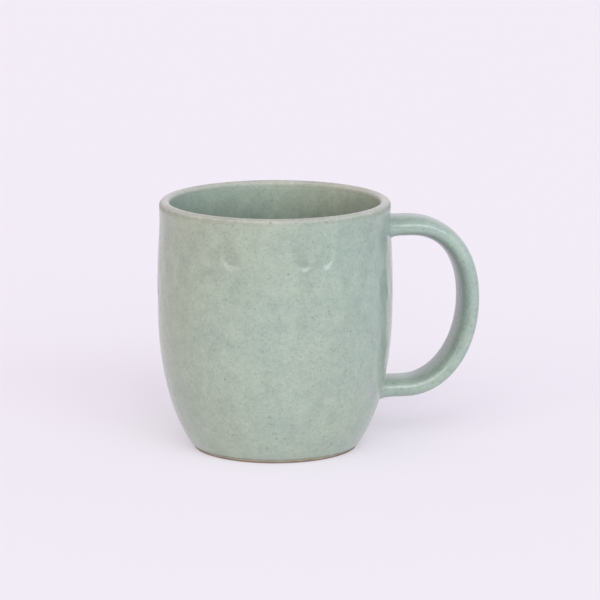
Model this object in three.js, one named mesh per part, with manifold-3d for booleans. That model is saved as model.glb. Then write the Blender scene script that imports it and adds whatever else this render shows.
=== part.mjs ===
// Glazed stoneware mug: a softly barrelled cup on a bare clay foot ring, with one strap handle
// luted to the wall at an upper and a lower root.
//
// Millimetres, +Z up. The origin is on the cup's axis at table level. The handle points along +X.

import * as THREE from "three";
import { mergeVertices } from "three/addons/utils/BufferGeometryUtils.js";
import Module from "manifold-3d";

// Cup: outer wall
const cupHeight = 91.5;
const widestRadius = 43;
const widestHeight = 55;
const lipRadius = 42.1;            // outside of the wall, just under the lip
const lipRounding = 2;             // the lip is a half-round bead, so the wall there is 4 thick
const shoulderPull = 24;           // how far the widest part stays nearly upright above its middle
const lipPull = 16;
const bellyPull = 30;              // the same below the widest part
const footPull = 10;
const footLean = THREE.MathUtils.degToRad(34);   // lean of the wall where it leaves the foot ring

// Cup: inside
const bellyThickness = 4.3;
const floorTop = 6.8;
const floorRadius = 17;            // flat middle of the floor, inside the round corner
const floorPull = 15;
const innerBellyPull = 32;
const innerLipPull = 20;

// Foot ring
const footHeight = 1.5;
const footTopRadius = 31;
const footFaceRadius = 29.6;       // outside of the flat face that stands on the table
const footFaceWidth = 3;
const footEdgeRounding = 0.4;
const footInnerDraft = 0.8;
const recessDepth = 2.4;           // table to the hollow underside of the cup

// Handle
const handleThickness = 7.3;       // in the plane of the cup's axis
const handleWidth = 16.8;          // across that plane
const handleFullness = 2.6;        // 2 would make the section an ellipse, more makes it squarer
const handleReach = 75.9;          // cup axis to the outside of the handle
const gripHeight = 52.5;           // height where the handle is furthest out
const upperRootHeight = 80.5;
const lowerRootHeight = 20.2;
const upperArchStart = 49;         // distance from the axis where the top run starts to bend down
const upperArchFullness = 2.2;     // as for the section
const lowerArchEnd = 48.2;
const lowerArchFullness = 2.05;

// Roots, where the handle is luted to the wall
const rootReach = 3.2;             // wall to the cut end of the handle
const rootFlare = 1.5;             // how much a root spreads upwards and downwards at the wall
const jointGap = 0.3;              // between a root and its two neighbours

// Fineness
const turnSteps = 64;
const curveSteps = 8;
const lipSteps = 6;
const edgeSteps = 3;
const sectionSteps = 28;
const spineSteps = 40;
const rootTurnSteps = 32;

const wasm = await Module();
wasm.setup();

const glazeColour = new THREE.Color("rgb(166, 184, 175)");
const bareClayColour = new THREE.Color("rgb(150, 128, 110)");

function glaze() {
  return new THREE.MeshStandardMaterial({ color: glazeColour, roughness: 0.3, metalness: 0 });
}

function bareClay() {
  return new THREE.MeshStandardMaterial({ color: bareClayColour, roughness: 0.9, metalness: 0 });
}

function namedMesh(name, geometry, material) {
  const mesh = new THREE.Mesh(geometry, material);
  mesh.name = name;
  return mesh;
}

// Turns an outline of (radius, height) points about the cup's axis.
function turned(points) {
  return new THREE.LatheGeometry(points, turnSteps).rotateX(Math.PI / 2);
}

// The outer wall as an open path, from the top of the foot ring to the underside of the lip.
function addOuterWall(path) {
  path.bezierCurveTo(
    footTopRadius + footPull * Math.sin(footLean), footHeight + footPull * Math.cos(footLean),
    widestRadius, widestHeight - bellyPull,
    widestRadius, widestHeight);
  path.bezierCurveTo(
    widestRadius, widestHeight + shoulderPull,
    lipRadius, cupHeight - lipRounding - lipPull,
    lipRadius, cupHeight - lipRounding);
}

// Radius of the outer wall at one height.
function wallRadiusAt(height) {
  const wall = new THREE.Path();
  wall.moveTo(footTopRadius, footHeight);
  addOuterWall(wall);
  const points = wall.getPoints(turnSteps);
  const above = points.findIndex((point) => point.y >= height);
  const [low, high] = [points[above - 1], points[above]];
  return THREE.MathUtils.mapLinear(height, low.y, high.y, low.x, high.x);
}

function cupOutline() {
  const innerRadius = widestRadius - bellyThickness;
  const innerLipRadius = lipRadius - 2 * lipRounding;
  const outline = new THREE.Path();
  outline.moveTo(0, recessDepth);
  outline.lineTo(footFaceRadius - footFaceWidth - footInnerDraft, recessDepth);
  outline.lineTo(footFaceRadius - footFaceWidth - footInnerDraft, footHeight);
  outline.lineTo(footTopRadius, footHeight);
  addOuterWall(outline);
  const lip = new THREE.EllipseCurve(
    lipRadius - lipRounding, cupHeight - lipRounding, lipRounding, lipRounding, 0, Math.PI);
  const lipPoints = lip.getPoints(lipSteps).slice(1);
  const inside = new THREE.Path();
  inside.moveTo(innerLipRadius, cupHeight - lipRounding);
  inside.bezierCurveTo(
    innerLipRadius, cupHeight - lipRounding - innerLipPull,
    innerRadius, widestHeight + innerLipPull / 2,
    innerRadius, widestHeight);
  inside.bezierCurveTo(
    innerRadius, widestHeight - innerBellyPull,
    floorRadius + floorPull, floorTop,
    floorRadius, floorTop);
  inside.lineTo(0, floorTop);
  return [...outline.getPoints(curveSteps), ...lipPoints, ...inside.getPoints(curveSteps).slice(1)];
}

function footRingOutline() {
  const faceInner = footFaceRadius - footFaceWidth;
  const outline = new THREE.Path();
  outline.moveTo(faceInner - footInnerDraft, footHeight);
  outline.lineTo(faceInner, 0);
  outline.lineTo(footFaceRadius, 0);
  outline.quadraticCurveTo(
    footFaceRadius + footEdgeRounding, 0,
    footFaceRadius + footEdgeRounding, footEdgeRounding);
  outline.lineTo(footTopRadius, footHeight);
  outline.lineTo(faceInner - footInnerDraft, footHeight);
  return outline.getPoints(edgeSteps);
}

// The point at one angle on a superellipse that is 1 across each way from its middle.
function fullPoint(angle, fullness) {
  const soften = (value) => Math.sign(value) * Math.abs(value) ** (2 / fullness);
  return new THREE.Vector2(soften(Math.cos(angle)), soften(Math.sin(angle)));
}

// A quarter of an upright superellipse in the plane of the handle. It starts at startAngle,
// measured from +X towards +Z, and turns downwards.
class QuarterArch extends THREE.Curve {
  constructor(centreX, centreZ, reach, rise, startAngle, fullness) {
    super();
    Object.assign(this, { centreX, centreZ, reach, rise, startAngle, fullness });
  }

  getPoint(t, target = new THREE.Vector3()) {
    const point = fullPoint(this.startAngle - t * Math.PI / 2, this.fullness);
    return target.set(this.centreX + this.reach * point.x, 0, this.centreZ + this.rise * point.y);
  }
}

// The middle line of the handle: out along the top, down the grip and back in at the bottom.
function handleSpine() {
  const gripX = handleReach - handleThickness / 2;
  const upperEnd = new THREE.Vector3(
    wallRadiusAt(upperRootHeight) + rootReach + jointGap, 0, upperRootHeight);
  const lowerEnd = new THREE.Vector3(
    wallRadiusAt(lowerRootHeight) + rootReach + jointGap, 0, lowerRootHeight);
  const spine = new THREE.CurvePath();
  spine.add(new THREE.LineCurve3(upperEnd, new THREE.Vector3(upperArchStart, 0, upperRootHeight)));
  spine.add(new QuarterArch(upperArchStart, gripHeight,
    gripX - upperArchStart, upperRootHeight - gripHeight, Math.PI / 2, upperArchFullness));
  spine.add(new QuarterArch(lowerArchEnd, gripHeight,
    gripX - lowerArchEnd, gripHeight - lowerRootHeight, 0, lowerArchFullness));
  spine.add(new THREE.LineCurve3(new THREE.Vector3(lowerArchEnd, 0, lowerRootHeight), lowerEnd));
  return spine;
}

function handleGeometry() {
  const corners = [];
  for (let step = 0; step < sectionSteps; step += 1) {
    const point = fullPoint(2 * Math.PI * step / sectionSteps, handleFullness);
    corners.push(new THREE.Vector2(point.x * handleThickness / 2, point.y * handleWidth / 2));
  }
  return new THREE.ExtrudeGeometry(new THREE.Shape(corners), {
    extrudePath: handleSpine(),
    steps: spineSteps,
  });
}

// A closed mesh as a solid that can be cut.
function toSolid(geometry) {
  const bare = geometry.clone();
  bare.deleteAttribute("normal");
  bare.deleteAttribute("uv");
  const merged = mergeVertices(bare);
  const corners = [];
  for (let i = 0; i < merged.index.count; i += 3) {
    const [a, b, c] = [0, 1, 2].map((step) => merged.index.getX(i + step));
    if (a !== b && b !== c && c !== a) {
      corners.push(a, b, c);
    }
  }
  return new wasm.Manifold(new wasm.Mesh({
    numProp: 3,
    vertProperties: new Float32Array(merged.attributes.position.array),
    triVerts: new Uint32Array(corners),
  }));
}

function toGeometry(solid) {
  const mesh = solid.getMesh();
  const geometry = new THREE.BufferGeometry();
  geometry.setAttribute("position", new THREE.BufferAttribute(mesh.vertProperties, 3));
  geometry.setIndex(new THREE.BufferAttribute(mesh.triVerts, 1));
  geometry.computeVertexNormals();
  return geometry;
}

// Everything inside the outer wall, grown by the gap that a root keeps to it.
function wallCutter() {
  const outline = new THREE.Path();
  outline.moveTo(footTopRadius, footHeight);
  addOuterWall(outline);
  const points = outline.getPoints(curveSteps);
  const grown = points.map((point) => new THREE.Vector2(point.x + jointGap, point.y));
  return toSolid(turned([
    new THREE.Vector2(0, footHeight), ...grown, new THREE.Vector2(0, cupHeight - lipRounding)]));
}

// Swells the round section of a plug along +X to the full section of the handle.
function squareUp(plug) {
  const corners = plug.attributes.position;
  for (let i = 0; i < corners.count; i += 1) {
    const [across, up] = [corners.getY(i), corners.getZ(i)];
    const radius = Math.hypot(across, up);
    const point = fullPoint(Math.atan2(up, across), handleFullness);
    corners.setXYZ(i, corners.getX(i), radius * point.x, radius * point.y);
  }
}

// One root: a plug the size of the handle's section that spreads in a hollow curve to the wall,
// cut to the wall's curve.
function rootGeometry(height) {
  const wallX = wallRadiusAt(height);
  const buried = 4 * rootFlare;
  const spread = 1 + 2 * rootFlare / handleThickness;
  const outline = new THREE.Path();
  outline.moveTo(0, -buried);
  outline.lineTo(spread, -buried);
  outline.lineTo(spread, 0);
  outline.quadraticCurveTo(1, rootReach / 4, 1, rootReach);
  outline.lineTo(0, rootReach);
  const plug = new THREE.LatheGeometry(outline.getPoints(edgeSteps), rootTurnSteps);
  plug.rotateZ(-Math.PI / 2);
  squareUp(plug);
  plug.scale(1, handleWidth / 2, handleThickness / 2);
  plug.translate(wallX, 0, height);
  return toGeometry(toSolid(plug).subtract(wallCutter()));
}

const mug = new THREE.Group();
mug.add(namedMesh("cup_body", turned(cupOutline()), glaze()));
mug.add(namedMesh("foot_ring", turned(footRingOutline()), bareClay()));
mug.add(namedMesh("handle", handleGeometry(), glaze()));
mug.add(namedMesh("upper_handle_root", rootGeometry(upperRootHeight), glaze()));
mug.add(namedMesh("lower_handle_root", rootGeometry(lowerRootHeight), glaze()));

export default mug;
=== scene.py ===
# A glazed stoneware mug: a barrelled cup with tooled walls on a bare clay foot ring, and one strap
# handle whose two roots are smoothed into the wall. Everything is in metres, +Z up, with the
# cup's axis at X = Y = 0, the table at Z = 0 and the handle along +X.

import math
import random

import bmesh
import bpy
from mathutils import Matrix, Vector, kdtree
from mathutils.geometry import interpolate_bezier


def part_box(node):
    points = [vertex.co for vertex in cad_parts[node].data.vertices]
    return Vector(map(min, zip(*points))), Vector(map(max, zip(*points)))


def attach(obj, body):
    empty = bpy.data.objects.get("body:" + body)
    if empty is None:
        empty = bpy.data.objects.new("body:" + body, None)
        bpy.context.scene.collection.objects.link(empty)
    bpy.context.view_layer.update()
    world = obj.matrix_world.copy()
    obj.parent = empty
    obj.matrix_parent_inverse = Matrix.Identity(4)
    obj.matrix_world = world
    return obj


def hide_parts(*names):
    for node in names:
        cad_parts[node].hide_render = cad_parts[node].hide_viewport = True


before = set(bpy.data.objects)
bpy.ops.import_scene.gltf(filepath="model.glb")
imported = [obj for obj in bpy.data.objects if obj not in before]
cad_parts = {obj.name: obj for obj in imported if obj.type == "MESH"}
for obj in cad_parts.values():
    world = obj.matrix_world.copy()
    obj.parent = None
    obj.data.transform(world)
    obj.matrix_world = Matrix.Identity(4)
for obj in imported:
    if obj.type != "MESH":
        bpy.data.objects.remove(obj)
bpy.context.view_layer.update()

bl_info = {
    "name": "Stoneware Mug",
    "version": (1, 0, 0),
    "blender": (4, 5, 0),
    "location": "3D View > Sidebar > Mug",
    "description": "Builds a tooled, glazed stoneware mug around its packed frame",
    "category": "Add Mesh",
}

CUP_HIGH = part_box("cup_body")[1]
FOOT_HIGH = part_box("foot_ring")[1]
HANDLE_LOW, HANDLE_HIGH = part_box("handle")

MM = 0.001

# Outline of the cup. A pull is how far a bend keeps its direction at one end.
WIDEST_HEIGHT = 55 * MM
LIP_RADIUS = 42.1 * MM
SHOULDER_PULL = 24 * MM
LIP_PULL = 16 * MM
BELLY_PULL = 30 * MM
FOOT_PULL = 10 * MM
FOOT_LEAN = math.radians(34)
FLOOR_TOP = 6.8 * MM
FLOOR_RADIUS = 17 * MM
FLOOR_PULL = 15 * MM
INNER_BELLY_PULL = 32 * MM
INNER_LIP_PULL = 20 * MM
HOLLOW_RADIUS = 25.8 * MM
HOLLOW_DEPTH = 2.4 * MM
HOLLOW_CORNER = 0.5 * MM
GLAZE_ROLL = 0.35 * MM
CLEARANCE = 0.02 * MM         # keeps the wall inside the box of the frame

# Middle line of the handle. A fullness of 2 makes an ellipse, more makes it squarer.
GRIP_HEIGHT = 52.5 * MM
UPPER_ARCH_START = 49 * MM
UPPER_ARCH_FULLNESS = 2.2
LOWER_ARCH_END = 48.2 * MM
LOWER_ARCH_FULLNESS = 2.05
SECTION_FULLNESS = 2.6
HANDLE_BURIED = 1.2 * MM

# The handle points this far away from the front, which is where the camera stands
VIEW_TURN = math.radians(10.8)
TO_FRONT = Matrix.Rotation(-VIEW_TURN, 3, "Z")

# Fineness of the meshes
TURN_STEPS = 432
BELLY_STEP = 0.72 * MM
SHOULDER_STEP = 0.42 * MM
INSIDE_STEP = 2.0 * MM
LIP_STEPS = 14
SECTION_STEPS = 72
ARCH_STEPS = 56
ROOT_STEPS = 14


class MugShape(bpy.types.PropertyGroup):
    belly_thickness: bpy.props.FloatProperty(
        name="Belly thickness", description="Thickness of the wall at the widest part",
        default=4.3 * MM, unit="LENGTH")
    lip_rounding: bpy.props.FloatProperty(
        name="Lip rounding", description="Radius of the half-round lip",
        default=2 * MM, unit="LENGTH")
    mark_width: bpy.props.FloatProperty(
        name="Mark width", description="Width of one scooped mark in the wall",
        default=8.4 * MM, unit="LENGTH")
    mark_depth: bpy.props.FloatProperty(
        name="Mark depth", description="Depth of the deepest marks",
        default=0.7 * MM, unit="LENGTH")
    handle_width: bpy.props.FloatProperty(
        name="Handle width", description="Width of the handle across the plane of its loop",
        default=HANDLE_HIGH.y - HANDLE_LOW.y, unit="LENGTH")
    handle_thickness: bpy.props.FloatProperty(
        name="Handle thickness", description="Thickness of the handle in the plane of its loop",
        default=7.3 * MM, unit="LENGTH")


class MugFinish(bpy.types.PropertyGroup):
    # The glaze runs between these two with its own clouding and with a painted tint of coloured
    # light: cool on the handle's side outside the cup, warm on that side inside it
    glaze_cool: bpy.props.FloatVectorProperty(
        name="Cool glaze", description="Glaze where it is thick",
        subtype="COLOR", size=3, min=0, max=1, default=(0.267, 0.352, 0.306))
    glaze_warm: bpy.props.FloatVectorProperty(
        name="Warm glaze", description="Glaze where it is thin and the clay warms it",
        subtype="COLOR", size=3, min=0, max=1, default=(0.318, 0.354, 0.270))
    speck: bpy.props.FloatVectorProperty(
        name="Speck", description="Iron specks in the glaze",
        subtype="COLOR", size=3, min=0, max=1, default=(0.10, 0.115, 0.09))
    lip_break: bpy.props.FloatVectorProperty(
        name="Lip break", description="Pale glaze where it breaks over the lip",
        subtype="COLOR", size=3, min=0, max=1, default=(0.43, 0.415, 0.365))
    clay: bpy.props.FloatVectorProperty(
        name="Bare clay", description="Fired clay of the foot ring",
        subtype="COLOR", size=3, min=0, max=1, default=(0.20, 0.14, 0.10))
    backdrop: bpy.props.FloatVectorProperty(
        name="Backdrop", description="Colour of the light from the table and the studio",
        subtype="COLOR", size=3, min=0, max=1, default=(0.88, 0.831, 0.913))
    floor: bpy.props.FloatVectorProperty(
        name="Floor", description="Colour that the table gives back to the light on it",
        subtype="COLOR", size=3, min=0, max=1, default=(0.510, 0.492, 0.518))


# ---- Materials ----


class Value:
    """One output of a node. Arithmetic on it adds Math nodes."""

    def __init__(self, recipe, socket):
        self.recipe = recipe
        self.socket = socket

    def maths(self, operation, first, second):
        inputs = {"Value": first, "Value_001": second}
        return self.recipe.node("Math", {"operation": operation}, inputs)

    def __add__(self, other):
        return self.maths("ADD", self, other)

    def __radd__(self, other):
        return self.maths("ADD", other, self)

    def __sub__(self, other):
        return self.maths("SUBTRACT", self, other)

    def __rsub__(self, other):
        return self.maths("SUBTRACT", other, self)

    def __mul__(self, other):
        return self.maths("MULTIPLY", self, other)

    def __rmul__(self, other):
        return self.maths("MULTIPLY", other, self)

    def at_most(self, limit):
        return self.maths("MINIMUM", self, limit)


class Recipe:
    """A material, or the world, while its nodes are being added."""

    def __init__(self, owner):
        self.owner = owner if isinstance(owner, bpy.types.ID) else bpy.data.materials.new(owner)
        self.owner.use_nodes = True
        self.tree = self.owner.node_tree
        self.tree.nodes.clear()

    def node(self, kind, settings=None, inputs=None, output=0):
        """Adds a node. Its settings come first, then the values or links of its inputs."""
        made = self.tree.nodes.new("ShaderNode" + kind)
        for name, setting in (settings or {}).items():
            setattr(made, name, setting)
        sockets = {socket.identifier: socket for socket in made.inputs}
        for name, value in (inputs or {}).items():
            if isinstance(value, Value):
                self.tree.links.new(value.socket, sockets[name])
            else:
                sockets[name].default_value = value
        return Value(self, made.outputs[output])

    def mix(self, amount, first, second):
        """A colour between two others."""
        inputs = {"Factor_Float": amount, "A_Color": first, "B_Color": second}
        return self.node("Mix", {"data_type": "RGBA"}, inputs, output=2)

    def between(self, value, low, high):
        """0 where the value is under low, 1 where it is over high, and a smooth step between."""
        inputs = {"Value": value, "From Min": low, "From Max": high}
        return self.node("MapRange", {"interpolation_type": "SMOOTHSTEP"}, inputs)

    def noise(self, place, size, detail=2.0, roughness=0.5):
        """Soft noise whose patches are about the given size across."""
        inputs = {"Vector": place, "Scale": 1 / size, "Detail": detail, "Roughness": roughness}
        return self.node("TexNoise", None, inputs)

    def specks(self, place, size, share, spread):
        """Round specks: 1 in the middle of a speck and 0 between them.

        One cell in so many, the share, holds a speck, and a cell is size across."""
        inputs = {"Vector": place, "Scale": 1 / size, "Randomness": 1.0}
        distance = self.node("TexVoronoi", None, inputs)
        cell = self.node("TexVoronoi", None, inputs, output=1)
        chance = self.node("SeparateColor", None, {"Color": cell})
        holds = self.between(chance, 1 - share, 1 - share + 0.05)
        return (1 - self.between(distance, spread * 0.4, spread)) * holds

    def finish(self, surface):
        kind = "World" if isinstance(self.owner, bpy.types.World) else "Material"
        made = self.tree.nodes.new("ShaderNodeOutput" + kind)
        self.tree.links.new(surface.socket, made.inputs["Surface"])
        return self.owner


def colour(value):
    return (*value, 1.0)


# Heights over which the glaze changes, from the start of each change to its end
PALE_LIP = (CUP_HIGH.z - 1.35 * MM, CUP_HIGH.z - 0.75 * MM)
TAN_LINE = (CUP_HIGH.z - 2.8 * MM, CUP_HIGH.z - 1.6 * MM)
MATT_BELOW_LIP = (CUP_HIGH.z - 3.4 * MM, CUP_HIGH.z - 2.0 * MM)
GLOSSY_LIP = (CUP_HIGH.z - 0.9 * MM, CUP_HIGH.z - 0.2 * MM)
THIN_AT_FOOT = (FOOT_HIGH.z - 0.6 * MM, FOOT_HIGH.z + 0.8 * MM)
WASHED_FOOT = (FOOT_HIGH.z - 1.1 * MM, FOOT_HIGH.z - 0.4 * MM)
SIDE_LIMIT = 0.8              # in cup radii: the painted tint and painted light towards the handle stop growing here, so the handle's glaze is like that beside its roots


def glaze_material(finish):
    """Satin grey-green glaze, clouded and specked, pale over the lip and thin at the foot, with
    painted light and shade in its colour.
    """
    recipe = Recipe("speckled_glaze")
    place = recipe.node("TexCoord", output=3)
    height = recipe.node("SeparateXYZ", None, {"Vector": place}, output=2)
    towards_handle = recipe.node("SeparateXYZ", None, {"Vector": place}, output=0)
    drift = recipe.noise(place, 45 * MM, detail=1.0)
    clouds = recipe.noise(place, 7 * MM, detail=3.0, roughness=0.75)
    grain = recipe.noise(place, 1.3 * MM, detail=2.0, roughness=0.95)
    fine_specks = recipe.specks(place, 0.9 * MM, 0.35, 0.42)
    large_specks = recipe.specks(place, 3.0 * MM, 0.16, 0.2)
    # Painted shade and painted light that the meshes note, with the glaze pooling in the marks
    painted_light_and_pooling = recipe.node("Attribute", {"attribute_name": "painted_shading_and_pooling"}, output=2)
    inside = recipe.node("Attribute", {"attribute_name": "inside"}, output=2)

    side = (1 / CUP_HIGH.x) * towards_handle
    side = side.at_most(SIDE_LIMIT)
    # The glaze's own clouding plus painted coloured light: cooler towards the handle's side
    # outside the cup and warmer towards it inside
    uneven_and_painted_tint = 0.8 * drift + 0.5 * clouds - 0.24 * side * (1 - 2.7 * inside)
    thinness_and_painted_tint = recipe.between(uneven_and_painted_tint, 0.1, 1.2)
    body = recipe.mix(thinness_and_painted_tint, colour(finish.glaze_cool), colour(finish.glaze_warm))
    lip_edge = height + 0.6 * MM * (clouds - 0.5)
    on_lip = recipe.between(lip_edge, *PALE_LIP)
    body = recipe.mix(0.6 * on_lip, body, colour(finish.lip_break))
    under_lip = recipe.between(lip_edge, *TAN_LINE)
    body = recipe.mix(0.20 * under_lip * (1 - on_lip), body, colour(finish.clay))
    foot_edge = height + 1.2 * MM * (clouds - 0.5)
    off_foot = recipe.between(foot_edge, *THIN_AT_FOOT)
    body = recipe.mix(0.4 * (1 - off_foot), body, colour(finish.clay))
    # Brightness: the glaze's own clouds and grain, darker where it pools in the marks, with the
    # painted shade and painted light that the meshes note
    shade = 0.63 + 0.42 * clouds + 0.40 * grain - 0.12 * painted_light_and_pooling
    # Painted shade inside the cup and towards its top; painted light outside on the handle's side,
    # and painted shade inside on that side
    shade = shade - 0.05 * inside + 0.06 * side * (1 - 2 * inside) - (0.08 / CUP_HIGH.z) * height
    lit = recipe.node("VectorMath", {"operation": "SCALE"}, {"Vector": body, "Scale": shade})
    specked = recipe.mix(0.44 * fine_specks, lit, colour(finish.speck))
    specked = recipe.mix(0.42 * large_specks, specked, colour(finish.speck))

    rim = recipe.between(height, *MATT_BELOW_LIP) * (1 - recipe.between(height, *GLOSSY_LIP))
    skin = recipe.noise(place, 1.6 * MM, detail=2.0)
    relief = recipe.node("Bump", None, {
        "Strength": 0.5,
        "Distance": 0.025 * MM,
        "Height": skin + 0.2 * grain - 0.2 * fine_specks,
    })
    surface = recipe.node("BsdfPrincipled", None, {
        "Base Color": specked,
        "Roughness": 0.18 + 0.08 * clouds + 0.10 * fine_specks + 0.24 * rim,
        "IOR": 1.5,
        "Coat Weight": 0.2 * (1 - rim),
        "Coat Roughness": 0.12,
        "Normal": relief,
    })
    return recipe.finish(surface)


def clay_material(finish):
    """Bare fired clay, dry and gritty, with a thin wash of glaze at its upper edge."""
    recipe = Recipe("fired_clay")
    place = recipe.node("TexCoord", output=3)
    height = recipe.node("SeparateXYZ", None, {"Vector": place}, output=2)
    clouds = recipe.noise(place, 5 * MM, detail=3.0)
    grit = recipe.noise(place, 0.35 * MM, detail=3.0, roughness=0.7)
    edge = height + 0.8 * MM * (clouds - 0.5)
    washed = recipe.between(edge, *WASHED_FOOT)
    body = recipe.mix(0.75 * washed, colour(finish.clay), colour(finish.glaze_warm))
    lit = recipe.node("VectorMath", {"operation": "SCALE"}, {
        "Vector": body, "Scale": 0.75 + 0.25 * clouds + 0.25 * grit})
    relief = recipe.node("Bump", None, {
        "Strength": 0.7, "Distance": 0.06 * MM, "Height": grit})
    surface = recipe.node("BsdfPrincipled", None, {
        "Base Color": lit, "Roughness": 0.92 - 0.25 * washed, "Normal": relief})
    return recipe.finish(surface)


def floor_material(finish):
    """Plain matt floor of a light table, which glows a little from below."""
    recipe = Recipe("studio_floor")
    surface = recipe.node("BsdfPrincipled", None, {
        "Base Color": colour(finish.floor),
        "Roughness": 1.0,
        "Specular IOR Level": 0.0,
        "Emission Color": colour(finish.backdrop),
        "Emission Strength": FLOOR_GLOW,
    })
    return recipe.finish(surface)


def shared_material(name, make):
    """A material that several pieces use, made the first time it is asked for."""
    return bpy.data.materials.get(name) or make(bpy.context.scene.mug_finish)


# ---- Outlines and meshes ----


def outline_point(radius, height):
    return Vector((radius, 0, height))


def bend(start, first_pull, second_pull, end, step):
    """Points along one bend of an outline, without its start. Each pull is an offset."""
    count = math.ceil((end - start).length / step) + 1
    return interpolate_bezier(start, start + first_pull, end + second_pull, end, count)[1:]


def outer_wall():
    """The outer wall from the top of the foot ring to the underside of the lip."""
    shape = bpy.context.scene.mug_shape
    foot = outline_point(FOOT_HIGH.x, FOOT_HIGH.z)
    widest = outline_point(CUP_HIGH.x - CLEARANCE, WIDEST_HEIGHT)
    lip = outline_point(LIP_RADIUS, CUP_HIGH.z - shape.lip_rounding)
    foot_pull = FOOT_PULL * Vector((math.sin(FOOT_LEAN), 0, math.cos(FOOT_LEAN)))
    lower = bend(foot, foot_pull, Vector((0, 0, -BELLY_PULL)), widest, BELLY_STEP)
    upper = bend(widest, Vector((0, 0, SHOULDER_PULL)), Vector((0, 0, -LIP_PULL)), lip,
                 SHOULDER_STEP)
    return [foot, *lower, *upper]


def inner_wall():
    """The inside from the underside of the lip to the middle of the floor."""
    shape = bpy.context.scene.mug_shape
    lip = outline_point(LIP_RADIUS - 2 * shape.lip_rounding, CUP_HIGH.z - shape.lip_rounding)
    widest = outline_point(CUP_HIGH.x - shape.belly_thickness, WIDEST_HEIGHT)
    floor = outline_point(FLOOR_RADIUS, FLOOR_TOP)
    upper = bend(lip, Vector((0, 0, -INNER_LIP_PULL)), Vector((0, 0, INNER_LIP_PULL / 2)),
                 widest, INSIDE_STEP)
    lower = bend(widest, Vector((0, 0, -INNER_BELLY_PULL)), Vector((FLOOR_PULL, 0, 0)),
                 floor, INSIDE_STEP)
    middle = bend(floor, Vector(), Vector(), outline_point(0, FLOOR_TOP), 2 * INSIDE_STEP)
    return [lip, *upper, *lower, *middle]


def half_round(centre, radius, steps):
    """The lip: a half circle from the outer wall over to the inner one, without its two ends."""
    angles = [math.pi * step / steps for step in range(1, steps)]
    return [centre + radius * Vector((math.cos(angle), 0, math.sin(angle))) for angle in angles]


def wall_radius(height, wall):
    """Radius of the outer wall at one height."""
    for low, high in zip(wall, wall[1:]):
        if low.z <= height <= high.z:
            share = (height - low.z) / (high.z - low.z)
            return low.x + share * (high.x - low.x)
    return wall[-1].x if height > wall[-1].z else wall[0].x


def turned(points, closed=False):
    """A mesh turned about the cup's axis from an outline."""
    mesh = bmesh.new()
    verts = [mesh.verts.new(point) for point in points]
    pairs = list(zip(verts, verts[1:]))
    if closed:
        pairs.append((verts[-1], verts[0]))
    edges = [mesh.edges.new(pair) for pair in pairs]
    bmesh.ops.spin(mesh, geom=[*verts, *edges], cent=(0, 0, 0), axis=(0, 0, 1), dvec=(0, 0, 0),
                   angle=2 * math.pi, steps=TURN_STEPS, use_merge=True, use_normal_flip=False,
                   use_duplicate=False)
    bmesh.ops.remove_doubles(mesh, verts=mesh.verts, dist=0.001 * MM)
    bmesh.ops.dissolve_degenerate(mesh, dist=0.0005 * MM, edges=mesh.edges)
    bmesh.ops.recalc_face_normals(mesh, faces=mesh.faces)
    return mesh


def lofted(rings):
    """A closed mesh drawn through rings of points, each ring with as many points as the others."""
    mesh = bmesh.new()
    made = bmesh.ops.create_circle(mesh, cap_ends=False, segments=len(rings[0]), radius=1)
    circle = sorted(made["verts"], key=lambda vert: math.atan2(vert.co.y, vert.co.x))
    places = {vert: index for index, vert in enumerate(circle)}
    for vert, index in places.items():
        vert.co = rings[0][index]
    edges = list(mesh.edges)
    first = edges
    for ring in rings[1:]:
        made = bmesh.ops.extrude_edge_only(mesh, edges=edges)["geom"]
        following = {}
        for vert in (part for part in made if isinstance(part, bmesh.types.BMVert)):
            others = [edge.other_vert(vert) for edge in vert.link_edges]
            following[vert] = next(places[other] for other in others if other in places)
        for vert, index in following.items():
            vert.co = ring[index]
        edges = [part for part in made if isinstance(part, bmesh.types.BMEdge)
                 and all(vert in following for vert in part.verts)]
        places = following
    bmesh.ops.edgeloop_fill(mesh, edges=first)
    bmesh.ops.edgeloop_fill(mesh, edges=edges)
    for edge in [*first, *edges]:
        edge.smooth = False
    bmesh.ops.recalc_face_normals(mesh, faces=mesh.faces)
    return mesh


def full_point(angle, fullness):
    """The point at one angle on a superellipse that is 1 across each way from its middle."""
    cos, sin = math.cos(angle), math.sin(angle)
    power = 2 / fullness
    return math.copysign(abs(cos) ** power, cos), math.copysign(abs(sin) ** power, sin)


def add_piece(mesh, name, node, material):
    """Turns a finished mesh into the piece that stands for one node of the frame."""
    for face in mesh.faces:
        face.smooth = True
    data = bpy.data.meshes.new(name)
    mesh.to_mesh(data)
    mesh.free()
    piece = bpy.data.objects.new(name, data)
    bpy.context.scene.collection.objects.link(piece)
    piece.data.materials.append(material)
    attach(piece, "root")
    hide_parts(node)
    return piece


# ---- Cup ----

MARK_SEED = 7
MARK_HEIGHT = 1.7             # height of a mark as a share of its width
MARK_JITTER = 0.16            # how far a mark strays, as a share of its width
MARK_BOW = 0.22               # how far its lower edge bows, as a share of its height
MARK_TILT = 0.12              # how far its lower edge may slope, as a share of its height
MARK_LEDGE = 0.17             # height of the ledge at the lower edge of the deepest marks, as a
                              # share of their height. Shallow marks have gentler ledges.
MARK_SHARPNESS = 5            # sharpness of the ridges where marks meet
MARK_WIDTHS = (0.85, 1.2)     # as shares of the given width
MARK_REACH = 0.75             # a mark ends within this share of its height from its middle
ROW_PITCH = 9.0 * MM
FIRST_ROW = 72.3 * MM         # height of the lower edges in the row with the deepest marks
BOLD_MARKS = {                # degrees from the front, in the first row, and the slope of each
    -21: -0.06,
    13: -0.16,
    25: 0.04,
}
SOFT_DEPTHS = (0.20, 0.55)    # as shares of the deepest mark
BAND = (49 * MM, 57 * MM)     # the marks get deeper over these heights
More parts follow.
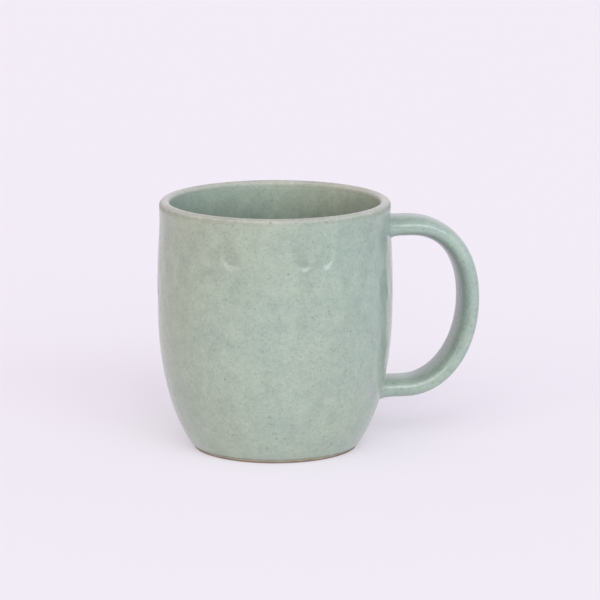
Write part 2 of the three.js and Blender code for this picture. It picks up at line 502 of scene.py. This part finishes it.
LIP_FADE = (CUP_HIGH.z - 8 * MM, CUP_HIGH.z - 3 * MM)
FOOT_FADE = (FOOT_HIGH.z + 1.5 * MM, FOOT_HIGH.z + 8 * MM)
LOWER_MARKS = 0.45            # depth of the marks under the band, as a share of those in it
FRONT = math.radians(-90) - VIEW_TURN
INSIDE_PAINTED_SHADE = 1.5          # painted shade down inside the cup
RIM_PAINTED_HIGHLIGHT = -1.0            # and a painted highlight just inside the lip
INSIDE_FADE = (CUP_HIGH.z - 15 * MM, CUP_HIGH.z - 2 * MM)


def scoop_marks(wall, width):
    """The marks: rows round the wall, each mark a little astray, and a few deep ones in front.

    Each is the angle and height of its lower edge, its width, its depth and its slope."""
    rng = random.Random(MARK_SEED)
    marks = []
    lowest_row = math.ceil((FIRST_ROW - FOOT_HIGH.z) / ROW_PITCH)
    for row in range(-1, lowest_row):
        edge = FIRST_ROW - row * ROW_PITCH
        count = round(2 * math.pi * wall_radius(edge, wall) / width)
        offset = math.pi / count * (row % 2)
        for step in range(count):
            stray = rng.uniform(-MARK_JITTER, MARK_JITTER)
            angle = FRONT + offset + 2 * math.pi * (step + stray) / count
            level = edge + rng.uniform(-MARK_JITTER, MARK_JITTER) * width
            depth = rng.uniform(*SOFT_DEPTHS)
            tilt = rng.uniform(-MARK_TILT, MARK_TILT)
            marks.append((angle, level, width * rng.uniform(*MARK_WIDTHS), depth, tilt))
    for turn, tilt in BOLD_MARKS.items():
        marks.append((FRONT + math.radians(turn), FIRST_ROW, width, 1.0, tilt))
    return marks


def smooth_step(value, low, high):
    share = min(1.0, max(0.0, (value - low) / (high - low)))
    return share * share * (3 - 2 * share)


def mark_strength(height):
    """How deep the marks are at a height: deepest round the shoulder, none at the ends."""
    fade_up = 1 - smooth_step(height, *LIP_FADE)
    fade_down = smooth_step(height, *FOOT_FADE)
    band = smooth_step(height, *BAND)
    return fade_up * fade_down * (LOWER_MARKS + (1 - LOWER_MARKS) * band)


def scoop_depth(across, up, width, tilt, ledge):
    """Depth of one scoop, from 0 to 1, at a place measured from the middle of its lower edge.

    The ledge is given as a share of the scoop's height."""
    side = 2 * across / width
    rise = up / (MARK_HEIGHT * width) - MARK_BOW * side * side - tilt * side
    if abs(side) >= 1 or not 0 < rise < 1:
        return 0.0
    drop = smooth_step(rise, 0, ledge)
    run_out = 1 - smooth_step(rise, ledge / 2, 1)
    return drop * run_out * (1 - side * side)


def scoop(mesh, wall, shape):
    """Presses the marks into the outer wall.

    It notes, for the glaze to read, which points are inside the cup, painted shade down inside it,
    a painted highlight just inside the lip, and where the glaze pools in the marks, which the
    glaze also darkens there as painted shade."""
    marks = scoop_marks(wall, shape.mark_width)
    tall = MARK_HEIGHT * shape.mark_width
    tree = kdtree.KDTree(len(marks))
    for index, (angle, level, width, depth, tilt) in enumerate(marks):
        radius = wall_radius(level, wall)
        middle = Vector((radius * math.cos(angle), radius * math.sin(angle), level + tall / 2))
        tree.insert(middle, index)
    tree.balance()
    painted_shading_and_pooling = mesh.verts.layers.float.new("painted_shading_and_pooling")
    inside = mesh.verts.layers.float.new("inside")
    for vert in mesh.verts:
        radius = Vector((vert.co.x, vert.co.y)).length
        level = vert.co.z
        if level < FOOT_HIGH.z:
            continue
        if radius < wall_radius(level, wall) - shape.belly_thickness / 2:
            vert[inside] = 1.0
            share = smooth_step(level, *INSIDE_FADE)
            # Painted shade down inside the cup, fading to a painted highlight just inside the lip
            vert[painted_shading_and_pooling] = INSIDE_PAINTED_SHADE * (1 - share) + RIM_PAINTED_HIGHLIGHT * share
            continue
        turn = math.atan2(vert.co.y, vert.co.x)
        total = 0.0
        for middle, index, distance in tree.find_range(vert.co, MARK_REACH * tall):
            angle, edge, width, depth, tilt = marks[index]
            across = radius * math.remainder(turn - angle, 2 * math.pi)
            share = scoop_depth(across, level - edge, width, tilt, MARK_LEDGE / depth)
            total += (depth * share) ** MARK_SHARPNESS
        depth = total ** (1 / MARK_SHARPNESS) * mark_strength(level)
        # The glaze pools in the marks, and they are darkened by this depth also as painted shade
        vert[painted_shading_and_pooling] = depth
        vert.co -= depth * shape.mark_depth * Vector((vert.co.x, vert.co.y, 0)) / radius


class MUG_OT_cup(bpy.types.Operator):
    """Turn the cup from its outline, scoop its wall and glaze it"""
    bl_idname = "mug.cup"
    bl_label = "Cup"

    def execute(self, context):
        shape = context.scene.mug_shape
        wall = outer_wall()
        lip_centre = outline_point(LIP_RADIUS - shape.lip_rounding,
                                   CUP_HIGH.z - shape.lip_rounding)
        underside = [
            outline_point(0, HOLLOW_DEPTH),
            outline_point(HOLLOW_RADIUS / 2, HOLLOW_DEPTH),
            outline_point(HOLLOW_RADIUS - HOLLOW_CORNER, HOLLOW_DEPTH),
            outline_point(HOLLOW_RADIUS, HOLLOW_DEPTH - HOLLOW_CORNER),
            outline_point(HOLLOW_RADIUS, FOOT_HIGH.z),
            outline_point(FOOT_HIGH.x - GLAZE_ROLL, FOOT_HIGH.z),
        ]
        lip = half_round(lip_centre, shape.lip_rounding, LIP_STEPS)
        mesh = turned([*underside, *wall, *lip, *inner_wall()])
        scoop(mesh, wall, shape)
        material = shared_material("speckled_glaze", glaze_material)
        add_piece(mesh, "tooled_cup", "cup_body", material)
        return {"FINISHED"}


# ---- Foot ring ----

FOOT_FACE_INSET = 1.4 * MM    # from the widest part of the ring in to the face it stands on
FOOT_INNER_SLOPE = 1.0 * MM   # from the hollow out to that face
FOOT_INNER_BEVEL = 0.45 * MM
FOOT_OUTER_EDGE = (           # the rounded edge, outwards and upwards from the face
    (0.3 * MM, 0.1 * MM),
    (0.42 * MM, 0.35 * MM),
)


class MUG_OT_foot_ring(bpy.types.Operator):
    """Turn the ring of bare clay that the mug stands on"""
    bl_idname = "mug.foot_ring"
    bl_label = "Foot ring"

    def execute(self, context):
        face_outer = FOOT_HIGH.x - FOOT_FACE_INSET
        face_inner = HOLLOW_RADIUS + FOOT_INNER_SLOPE
        mesh = turned([
            outline_point(HOLLOW_RADIUS, FOOT_HIGH.z),
            outline_point(face_inner - FOOT_INNER_BEVEL, FOOT_INNER_BEVEL),
            outline_point(face_inner, 0),
            outline_point(face_outer, 0),
            *[outline_point(face_outer + out, up) for out, up in FOOT_OUTER_EDGE],
            outline_point(FOOT_HIGH.x - GLAZE_ROLL, FOOT_HIGH.z),
        ], closed=True)
        material = shared_material("fired_clay", clay_material)
        add_piece(mesh, "clay_foot", "foot_ring", material)
        return {"FINISHED"}


# ---- Handle ----

GRIP_PAINTED_SHADE = 2.2            # painted shade on the side of the grip that faces the cup
GRIP_FADE = (-0.2, 0.4)       # from facing sideways to facing the cup
TOP_PAINTED_LIGHT = 0.6            # and painted light higher up the handle, most on the top run
WALL_FADE = (CUP_HIGH.x, CUP_HIGH.x + 3 * MM)


def root_level(shape, upper):
    """Height of the middle of the handle at one of its roots."""
    half = shape.handle_thickness / 2
    return HANDLE_HIGH.z - half if upper else HANDLE_LOW.z + half


def handle_stations(shape):
    """Places along the middle of the handle, from the upper root round to the lower one.

    Each is a point and the direction that the handle runs in."""
    upper = root_level(shape, True)
    lower = root_level(shape, False)
    wall = outer_wall()
    grip = HANDLE_HIGH.x - shape.handle_thickness / 2
    top_start = wall_radius(upper, wall) + HANDLE_BURIED
    bottom_end = wall_radius(lower, wall) + HANDLE_BURIED
    points = []

    def arch(start, rise, first_angle, fullness):
        for step in range(ARCH_STEPS):
            angle = first_angle - math.pi / 2 * (step + 0.5) / ARCH_STEPS
            along, up = full_point(angle, fullness)
            points.append(Vector((start + (grip - start) * along, 0, GRIP_HEIGHT + rise * up)))

    for step in range(ROOT_STEPS):
        out = top_start + (UPPER_ARCH_START - top_start) * step / ROOT_STEPS
        points.append(Vector((out, 0, upper)))
    arch(UPPER_ARCH_START, upper - GRIP_HEIGHT, math.pi / 2, UPPER_ARCH_FULLNESS)
    arch(LOWER_ARCH_END, GRIP_HEIGHT - lower, 0, LOWER_ARCH_FULLNESS)
    for step in range(ROOT_STEPS):
        out = LOWER_ARCH_END + (bottom_end - LOWER_ARCH_END) * (step + 1) / ROOT_STEPS
        points.append(Vector((out, 0, lower)))
    before = [points[0], *points[:-1]]
    after = [*points[1:], points[-1]]
    runs = [(last - first).normalized() for first, last in zip(before, after)]
    runs[0], runs[-1] = Vector((1, 0, 0)), Vector((-1, 0, 0))
    return list(zip(points, runs))


def section_ring(point, run, shape):
    """Points round the handle's section at one place along it."""
    across = Vector((0, 1, 0))
    inward = across.cross(run)
    ring = []
    for step in range(SECTION_STEPS):
        wide, thick = full_point(2 * math.pi * step / SECTION_STEPS, SECTION_FULLNESS)
        ring.append(point + wide * shape.handle_width / 2 * across
                    + thick * shape.handle_thickness / 2 * inward)
    return ring


def paint_grip_shade_and_top_light(mesh):
    """Notes painted shade where the handle faces the cup and painted light higher up, most on the
    top run.
    """
    painted_shading_and_pooling = mesh.verts.layers.float.new("painted_shading_and_pooling")
    mesh.normal_update()
    for vert in mesh.verts:
        thin = TOP_PAINTED_LIGHT * smooth_step(vert.co.z, GRIP_HEIGHT, HANDLE_HIGH.z)
        off_wall = smooth_step(vert.co.x, *WALL_FADE)
        # Painted shade on the side that faces the cup, and painted light towards the top that
        # fades out at the wall
        vert[painted_shading_and_pooling] = GRIP_PAINTED_SHADE * smooth_step(-vert.normal.x, *GRIP_FADE) - thin * off_wall


class MUG_OT_handle(bpy.types.Operator):
    """Draw the strap handle round its loop"""
    bl_idname = "mug.handle"
    bl_label = "Handle"

    def execute(self, context):
        shape = context.scene.mug_shape
        mesh = lofted([section_ring(point, run, shape) for point, run in handle_stations(shape)])
        paint_grip_shade_and_top_light(mesh)
        material = shared_material("speckled_glaze", glaze_material)
        add_piece(mesh, "strap_handle", "handle", material)
        return {"FINISHED"}


# ---- Roots ----

ROOT_REACH = 3.2 * MM
ROOT_FLARE_SIDE = 1.2 * MM
UPPER_FLARES = (0.5 * MM, 1.4 * MM)   # how far a root spreads upwards and downwards at the wall
LOWER_FLARES = (0.6 * MM, 1.7 * MM)
ROOT_SUNK = 0.35 * MM
ROOT_SWELL = 0.02 * MM                # keeps the root's skin just outside the handle's
ROOT_PULL = 0.6                       # share of the reach over which it runs on like the handle
ROOT_TURN = 0.3                       # share of the flare where it meets the wall's surface


def root_mesh(shape, wall, level, flares):
    """A hollow curve all round the end of the handle, from the handle's section to the wall."""
    end = wall_radius(level, wall) + ROOT_REACH
    half_thickness = shape.handle_thickness / 2 + ROOT_SWELL
    half_width = shape.handle_width / 2 + ROOT_SWELL

    def wall_point(across, up, sunk):
        radius = wall_radius(level + up, wall) - sunk
        return Vector((math.sqrt(radius ** 2 - across ** 2), across, level + up))

    def rung(turn):
        wide, thick = full_point(turn, SECTION_FULLNESS)
        outward = Vector((math.cos(turn) / half_width, math.sin(turn) / half_thickness))
        outward.normalize()
        flare = ROOT_FLARE_SIDE * outward.x ** 2 + flares[thick < 0] * outward.y ** 2
        across, up = half_width * wide, half_thickness * thick
        start = Vector((end, across, level + up))
        foot = wall_point(across + flare * outward.x, up + flare * outward.y, ROOT_SUNK)
        turn_in = ROOT_TURN * flare
        near = wall_point(across + turn_in * outward.x, up + turn_in * outward.y, 0)
        along = start - Vector((ROOT_PULL * ROOT_REACH, 0, 0))
        return interpolate_bezier(start, along, near, foot, ROOT_STEPS)

    rungs = [rung(2 * math.pi * step / SECTION_STEPS) for step in range(SECTION_STEPS)]
    mesh = lofted(list(zip(*rungs)))
    paint_grip_shade_and_top_light(mesh)
    return mesh


class MUG_OT_roots(bpy.types.Operator):
    """Smooth both ends of the handle into the wall"""
    bl_idname = "mug.roots"
    bl_label = "Handle roots"

    def execute(self, context):
        shape = context.scene.mug_shape
        wall = outer_wall()
        material = shared_material("speckled_glaze", glaze_material)
        mesh = root_mesh(shape, wall, root_level(shape, True), UPPER_FLARES)
        add_piece(mesh, "upper_root", "upper_handle_root", material)
        mesh = root_mesh(shape, wall, root_level(shape, False), LOWER_FLARES)
        add_piece(mesh, "lower_root", "lower_handle_root", material)
        return {"FINISHED"}


# ---- Stage ----

FLOOR_GLOW = 0.407
FLOOR_SIZE = 30.0
CAMERA_DISTANCE = 1.334
CAMERA_ELEVATION = math.radians(11.82)
CAMERA_LENS = 218.9
SENSOR_WIDTH = 36.0
LOOK_AT = Vector((9.10, 0, 54.0)) * MM   # seen with the camera straight in front

# Azimuth to the right of the camera, elevation, strength, width, all angles in degrees, and tint
SOFT_LIGHTS = {
    "front": (8, 28, 1.60, 48, (1.0, 1.0, 1.0)),
    "right": (42, 26, 0.34, 24, (0.70, 1.0, 1.16)),
    "left": (-43, 21, 0.36, 30, (1.12, 0.99, 0.86)),
    "high": (-15, 60, 0.24, 40, (1.0, 1.0, 1.0)),
}
WORLD_HORIZON = 0.882         # brightness of the surroundings at table level
WORLD_BAND = 0.14             # more brightness just above it
WORLD_ZENITH = -0.63          # and less overhead
WORLD_GLOW = 1 / 0.873        # brings the backdrop's colour to an even brightness


def from_camera(azimuth, elevation):
    """The direction towards a place, with its azimuth counted from the camera to the right."""
    flat = TO_FRONT @ Vector((math.sin(azimuth), -math.cos(azimuth), 0))
    return math.cos(elevation) * flat + Vector((0, 0, math.sin(elevation)))


def studio_world(finish):
    """Surroundings that are bright just above the table and darker overhead."""
    world = bpy.data.worlds.new("studio")
    world.use_nodes = True
    recipe = Recipe(world)
    direction = recipe.node("TexCoord", output=0)
    rise = recipe.node("SeparateXYZ", None, {"Vector": direction}, output=2)
    band = recipe.between(rise, 0.02, 0.22)
    overhead = recipe.between(rise, 0.40, 0.90)
    strength = WORLD_HORIZON + WORLD_BAND * band + WORLD_ZENITH * overhead
    light = recipe.node("Background", None, {
        "Color": colour(WORLD_GLOW * share for share in finish.backdrop), "Strength": strength})
    recipe.finish(light)
    return world


class MUG_OT_stage(bpy.types.Operator):
    """Set up the pale floor, the soft light and the camera"""
    bl_idname = "mug.stage"
    bl_label = "Stage"

    def execute(self, context):
        scene = context.scene
        finish = scene.mug_finish
        mesh = bmesh.new()
        bmesh.ops.create_grid(mesh, x_segments=1, y_segments=1, size=FLOOR_SIZE / 2)
        data = bpy.data.meshes.new("floor")
        mesh.to_mesh(data)
        mesh.free()
        floor = bpy.data.objects.new("floor", data)
        scene.collection.objects.link(floor)
        floor.data.materials.append(shared_material("studio_floor", floor_material))

        scene.world = studio_world(finish)
        for name, (azimuth, elevation, strength, width, tint) in SOFT_LIGHTS.items():
            light = bpy.data.lights.new(name, "SUN")
            light.energy = strength
            light.angle = math.radians(width)
            light.color = tint
            light_object = bpy.data.objects.new(name, light)
            direction = from_camera(math.radians(azimuth), math.radians(elevation))
            light_object.rotation_euler = direction.to_track_quat("Z", "Y").to_euler()
            scene.collection.objects.link(light_object)

        camera = bpy.data.objects.new("camera", bpy.data.cameras.new("camera"))
        camera.data.lens = CAMERA_LENS
        camera.data.sensor_width = SENSOR_WIDTH
        back = from_camera(0, CAMERA_ELEVATION)
        camera.location = TO_FRONT @ LOOK_AT + CAMERA_DISTANCE * back
        camera.rotation_euler = back.to_track_quat("Z", "Y").to_euler()
        scene.collection.objects.link(camera)
        scene.camera = camera
        scene.view_settings.view_transform = "Standard"
        return {"FINISHED"}


class MUG_PT_panel(bpy.types.Panel):
    """Lists the steps and the sizes"""
    bl_label = "Mug"
    bl_idname = "MUG_PT_panel"
    bl_space_type = "VIEW_3D"
    bl_region_type = "UI"
    bl_category = "Mug"

    def draw(self, context):
        for group in (context.scene.mug_shape, context.scene.mug_finish):
            for name in group.bl_rna.properties.keys():
                if name not in {"rna_type", "name"}:
                    self.layout.prop(group, name)
        for operator in STEPS:
            self.layout.operator(operator.bl_idname)


STEPS = (MUG_OT_cup, MUG_OT_foot_ring, MUG_OT_handle, MUG_OT_roots, MUG_OT_stage)
CLASSES = (MugShape, MugFinish, *STEPS, MUG_PT_panel)


def register():
    for entry in CLASSES:
        bpy.utils.register_class(entry)
    bpy.types.Scene.mug_shape = bpy.props.PointerProperty(type=MugShape)
    bpy.types.Scene.mug_finish = bpy.props.PointerProperty(type=MugFinish)


def unregister():
    del bpy.types.Scene.mug_finish
    del bpy.types.Scene.mug_shape
    for entry in reversed(CLASSES):
        bpy.utils.unregister_class(entry)


def main():
    register()
    bpy.ops.mug.cup()
    bpy.ops.mug.foot_ring()
    bpy.ops.mug.handle()
    bpy.ops.mug.roots()
    bpy.ops.mug.stage()


if __name__ == "__main__":
    main()
